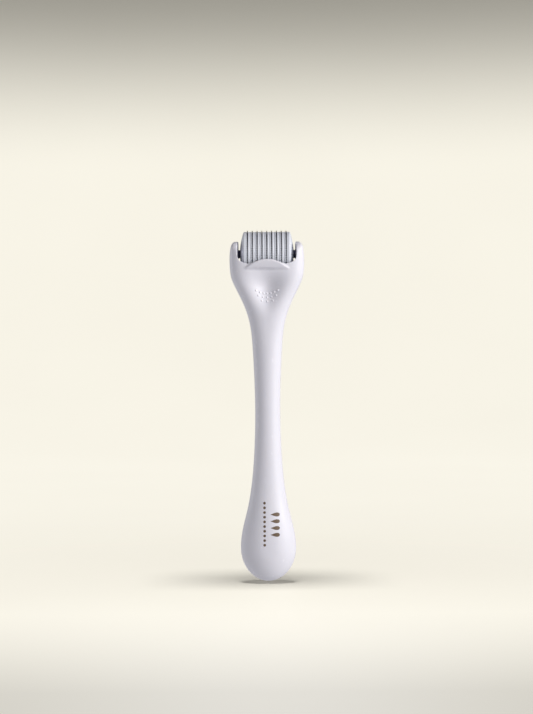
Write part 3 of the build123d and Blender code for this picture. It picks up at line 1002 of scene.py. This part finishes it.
front_mesh, rear_mesh = handle_shells()
piece("handle_front", front_mesh, "handle", handle_plastic, ["front_shell"])
piece("handle_rear", rear_mesh, "handle", handle_plastic, ["rear_shell"])
piece("bulb_print", print_mesh(), "handle", print_ink)
for node in RINGS:
    piece("turned_" + node, ring_mesh(node), "drum", drum_plastic, [node])
for node in DISCS:
    piece("sharp_" + node, disc_mesh(node), "drum", needle_steel, [node])
for node in ("end_cap_left", "end_cap_right"):
    piece("domed_" + node, cap_mesh(node), "drum", drum_plastic, [node])
frame["nodes"]["drum_shaft"].data.materials.clear()
frame["nodes"]["drum_shaft"].data.materials.append(shaft_plastic)


# ---- Stage, light and camera ----

def overhead_light(tree, x, y):
    """The overhead lamp's share of the light on each place of the floor, largest right under it."""
    spread = calculate(tree, "DIVIDE", sum_of_squares(tree, x, y), (OVERHEAD_Z * MM) ** 2)
    falloff = calculate(tree, "POWER", calculate(tree, "ADD", spread, 1.0), -2.0)
    return calculate(tree, "MULTIPLY", falloff, OVERHEAD_SHARE)


def stage_glow(tree, place):
    """Glow that makes up for what the lamp overhead lacks, dimmer up the wall and in front."""
    x, y, z = add_node(tree, "ShaderNodeSeparateXYZ", Vector=place).outputs
    lack = calculate(tree, "SUBTRACT", 1.0, overhead_light(tree, x, y))
    fade_start, fade_end = (height * MM for height in WALL_FADE_Z)
    wall = ranged(tree, z, fade_start, fade_end, *WALL_FADE, ease="SMOOTHSTEP")
    front_start, front_end = (depth * MM for depth in FRONT_FADE_Y)
    front = ranged(tree, y, front_start, front_end, FRONT_FADE)
    return calculate(tree, "MULTIPLY", lack, calculate(tree, "MULTIPLY", wall, front))


def cream_stage(name):
    """Matt cream. What the camera sees glows enough to even out the lamp; the rest just lights the roller."""
    material, tree, shader = new_material(name)
    place = object_place(tree)
    mottle = noise(tree, place, MOTTLE_SCALE)
    feed(tree, shader.inputs["Base Color"], colour_mix(tree, mottle, *LIT_CREAM))
    feed(tree, shader.inputs["Roughness"], STAGE_ROUGHNESS)
    feed(tree, shader.inputs["Emission Color"], colour_mix(tree, mottle, *GLOWING_CREAM))
    feed(tree, shader.inputs["Emission Strength"], stage_glow(tree, place))
    height = add_node(tree, "ShaderNodeSeparateXYZ", Vector=place).outputs["Z"]
    bounce = ranged(tree, height, 0.0, BOUNCE_TO_Z * MM, *BOUNCE)
    even = add_node(tree, "ShaderNodeEmission", Color=BOUNCE_COLOUR, Strength=bounce)
    seen = add_node(tree, "ShaderNodeLightPath").outputs["Is Camera Ray"]
    mix = add_node(tree, "ShaderNodeMixShader", Fac=seen)
    tree.links.new(even.outputs[0], mix.inputs[1])
    tree.links.new(shader.outputs[0], mix.inputs[2])
    tree.links.new(mix.outputs[0], tree.nodes["Material Output"].inputs["Surface"])
    return material


def cove():
    """Pale round floor that curves up into a wall on every side."""
    edge = FLOOR_RADII[-1]
    profile = [(radius, FLOOR_Z) for radius in FLOOR_RADII]
    for angle in np.radians(np.linspace(*COVE_ANGLES, COVE_STEPS)):
        profile.append((edge + COVE_BEND * math.sin(angle), FLOOR_Z + COVE_BEND * (1 - math.cos(angle))))
    profile.append((edge + COVE_BEND, WALL_TOP_Z))
    around = full_turn(ROUND_SEGMENTS)
    points = [(r * math.cos(a), r * math.sin(a), z) for r, z in profile for a in around]
    faces = []
    for level in range(len(profile) - 1):
        low = level * len(around)
        faces += faces_between(low, low + len(around), len(around))
    faces.append(tuple(range(len(around))))
    mesh = mesh_from("floor", points, faces)
    mesh.shade_smooth()
    mesh.materials.append(cream_stage("floor_cream"))
    item = linked("floor", mesh)
    return item


def soft_light(name, place, target, size, power, colour, lit):
    """Square softbox aimed at a point, which lights only the objects given. Places are in millimetres."""
    light = bpy.data.lights.new(name, "AREA")
    light.size = size * MM
    light.energy = power
    light.color = colour
    item = linked(name, light)
    item.location = np.array(place) * MM
    aim = (np.array(target) - np.array(place)).tolist()
    item.rotation_euler = Vector(aim).to_track_quat("-Z", "Y").to_euler()
    targets = bpy.data.collections.new(name + "_lights")
    for thing in lit:
        targets.objects.link(thing)
    item.light_linking.receiver_collection = targets


def room_light():
    """Dim, even light from all sides."""
    world = bpy.data.worlds.new("studio")
    world.use_nodes = True
    background = world.node_tree.nodes["Background"]
    background.inputs["Color"].default_value = ROOM_COLOUR
    background.inputs["Strength"].default_value = ROOM_STRENGTH
    bpy.context.scene.world = world


def studio(floor):
    """Key from the right, fill from behind on the left, and a softbox overhead for the floor."""
    room_light()
    roller = [item for item in bpy.context.scene.objects if item.type == "MESH" and item != floor]
    soft_light("key", place=(780.0, -470.0, 420.0), target=LIT_PLACE, size=550.0, power=9.0,
               colour=(1.0, 0.99, 0.98), lit=roller)
    soft_light("fill", place=(-750.0, 250.0, 200.0), target=LIT_PLACE, size=450.0, power=1.2,
               colour=(0.97, 0.97, 1.0), lit=roller)
    soft_light("overhead", place=(0.0, OVERHEAD_Y, OVERHEAD_Z), target=(0.0, OVERHEAD_Y, 0.0), size=60.0,
               power=1.32, colour=(0.99, 1.01, 1.10), lit=[floor])


def camera():
    """Level and square on to the front, rolled a little so that the roller leans."""
    lens = bpy.data.cameras.new("camera")
    lens.sensor_width = SENSOR
    lens.lens = SENSOR * CAMERA_DISTANCE / VIEW_HEIGHT
    item = linked("camera", lens)
    item.location = (CAMERA_X * MM, -CAMERA_DISTANCE * MM, CAMERA_Z * MM)
    item.rotation_euler = (math.radians(90), math.radians(CAMERA_ROLL), 0.0)
    bpy.context.scene.camera = item


studio(cove())
camera()
bpy.context.scene.view_settings.view_transform = "Standard"
